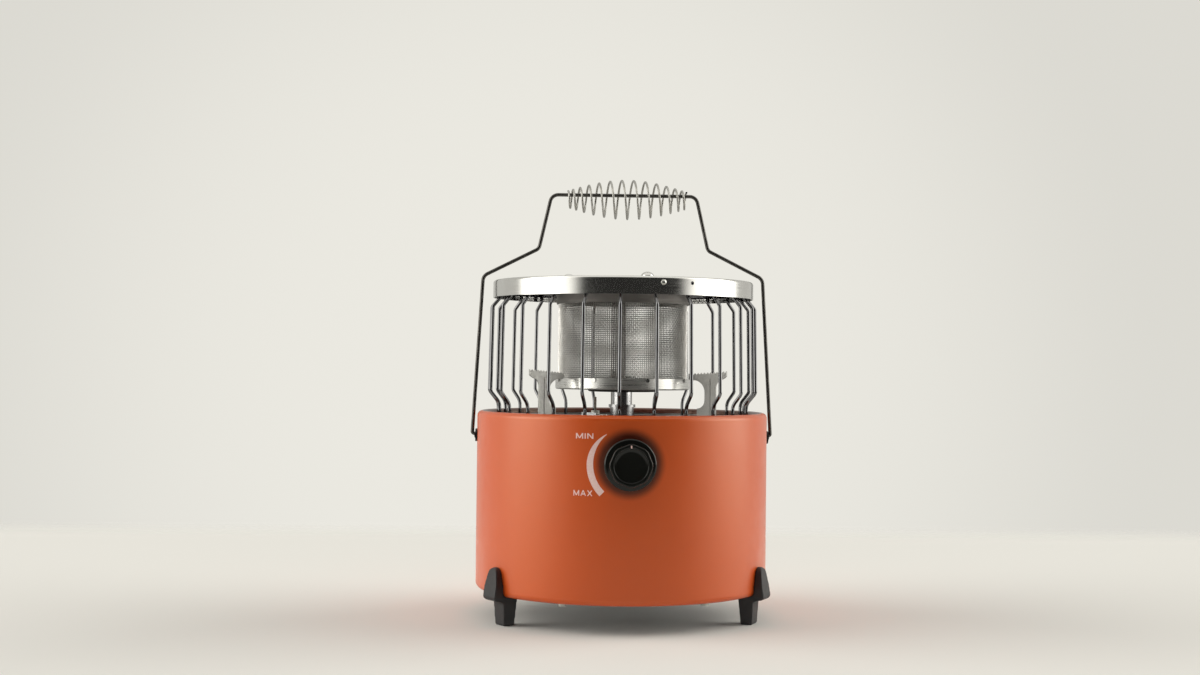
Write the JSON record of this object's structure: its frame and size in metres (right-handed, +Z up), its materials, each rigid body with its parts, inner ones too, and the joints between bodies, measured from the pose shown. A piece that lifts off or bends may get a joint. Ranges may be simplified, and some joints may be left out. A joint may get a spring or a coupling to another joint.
{
  "type": "portable propane heater",
  "caption": "Portable propane heater: an enamelled drum on feet with a gas knob, a wire guard round a gauze emitter, pot supports and a folding wire bail.",
  "frame": {"origin": "on the drum's axis at ground level, midway between the front and rear reach", "axes": "+Z up along the drum's axis, -Y out through the knob, +X to the right seen from the knob side"},
  "size_m": [0.2198, 0.25, 0.3159],
  "materials": {
    "orange_enamel": "satin orange enamel on deep-drawn steel",
    "plated_sheet": "zinc-plated sheet steel",
    "zinc_screws": "zinc-plated fasteners",
    "stainless_tray": "stainless sheet",
    "foot_plastic": "black moulded plastic",
    "black_steel": "blackened steel",
    "support_steel": "stamped stainless sheet",
    "riser_steel": "plated steel tube",
    "burner_iron": "cast iron, heat-darkened",
    "brass": "machined brass",
    "porcelain": "white glazed porcelain",
    "electrode_steel": "heat-resisting wire",
    "piezo_plastic": "dark moulded plastic",
    "lead_silicone": "red silicone sleeve",
    "copper": null,
    "chromed_wire": "bright chromed steel wire",
    "polished_band": "polished stainless sheet",
    "stud_steel": "plain steel",
    "scorched_steel": "heat-darkened steel",
    "steel_gauze": "woven heat-resisting wire",
    "brushed_collar": "brushed stainless sheet",
    "knob_plastic": "black moulded plastic, glossy",
    "white_print": "white inlay",
    "bail_wire": "dark drawn steel wire",
    "spring_wire": "bright spring wire"
  },
  "bodies": {
    "base": {"drum_shell": "orange_enamel", "base_cover": "plated_sheet", "base_screws": "zinc_screws", "floor_tray": "stainless_tray", "foot_1": "foot_plastic", "foot_2": "foot_plastic", "foot_3": "foot_plastic", "foot_screws": "zinc_screws", "ear_left": "black_steel", "ear_right": "black_steel", "ear_rivets": "black_steel", "pot_support_1": "support_steel", "pot_support_2": "support_steel", "pot_support_3": "support_steel", "support_screws": "zinc_screws", "mixing_tube": "riser_steel", "riser_flange": "riser_steel", "burner_neck": "riser_steel", "burner_head": "burner_iron", "burner_cap": "burner_iron", "injector": "brass", "igniter_bracket": "plated_sheet", "igniter_insulator": "porcelain", "igniter_electrode": "electrode_steel", "piezo_unit": "piezo_plastic", "ignition_lead": "lead_silicone", "thermocouple": "brass", "thermocouple_lead": "copper", "valve_bracket": "plated_sheet", "valve_body": "brass", "valve_nut": "zinc_screws", "gas_pipe": "copper", "inlet_pipe": "copper", "gas_inlet": "brass", "inlet_nut": "brass", "guard_wires": "chromed_wire", "guard_bottom_ring": "chromed_wire", "guard_top_ring": "chromed_wire", "top_band": "polished_band", "band_screws": "polished_band", "top_plate": "polished_band", "top_nuts": "polished_band", "emitter_studs": "stud_steel", "emitter_cap": "scorched_steel", "emitter_gauze": "steel_gauze", "emitter_collar": "brushed_collar", "gauze_rivets": "polished_band"},
    "plug": {"valve_plug": "brass", "return_spring": "stud_steel"},
    "knob": {"knob": "knob_plastic", "knob_pointer": "white_print", "valve_spindle": "zinc_screws"},
    "bail": {"bail": "bail_wire", "bail_clips": "bail_wire"},
    "grip": {"grip_coil": "spring_wire"}
  },
  "joints": [
    {"name": "knob_turn", "type": "hinge", "parent": "base", "child": "plug", "pos_m": [0, -0.105, 0.1148], "axis": [0, -1, 0], "range_deg": [0, 135]},
    {"name": "knob_press", "type": "slide", "parent": "plug", "child": "knob", "axis": [0, 1, 0], "range_m": [0, 0.003], "stiffness_N_per_m": 2000, "springref_m": -0.002},
    {"name": "bail_swing", "type": "hinge", "parent": "base", "child": "bail", "pos_m": [0, 0, 0.13], "axis": [1, 0, 0], "range_deg": [-115, 115]},
    {"name": "grip_spin", "type": "hinge", "parent": "bail", "child": "grip", "pos_m": [0, 0, 0.3043], "axis": [1, 0, 0], "continuous": true}
  ]
}
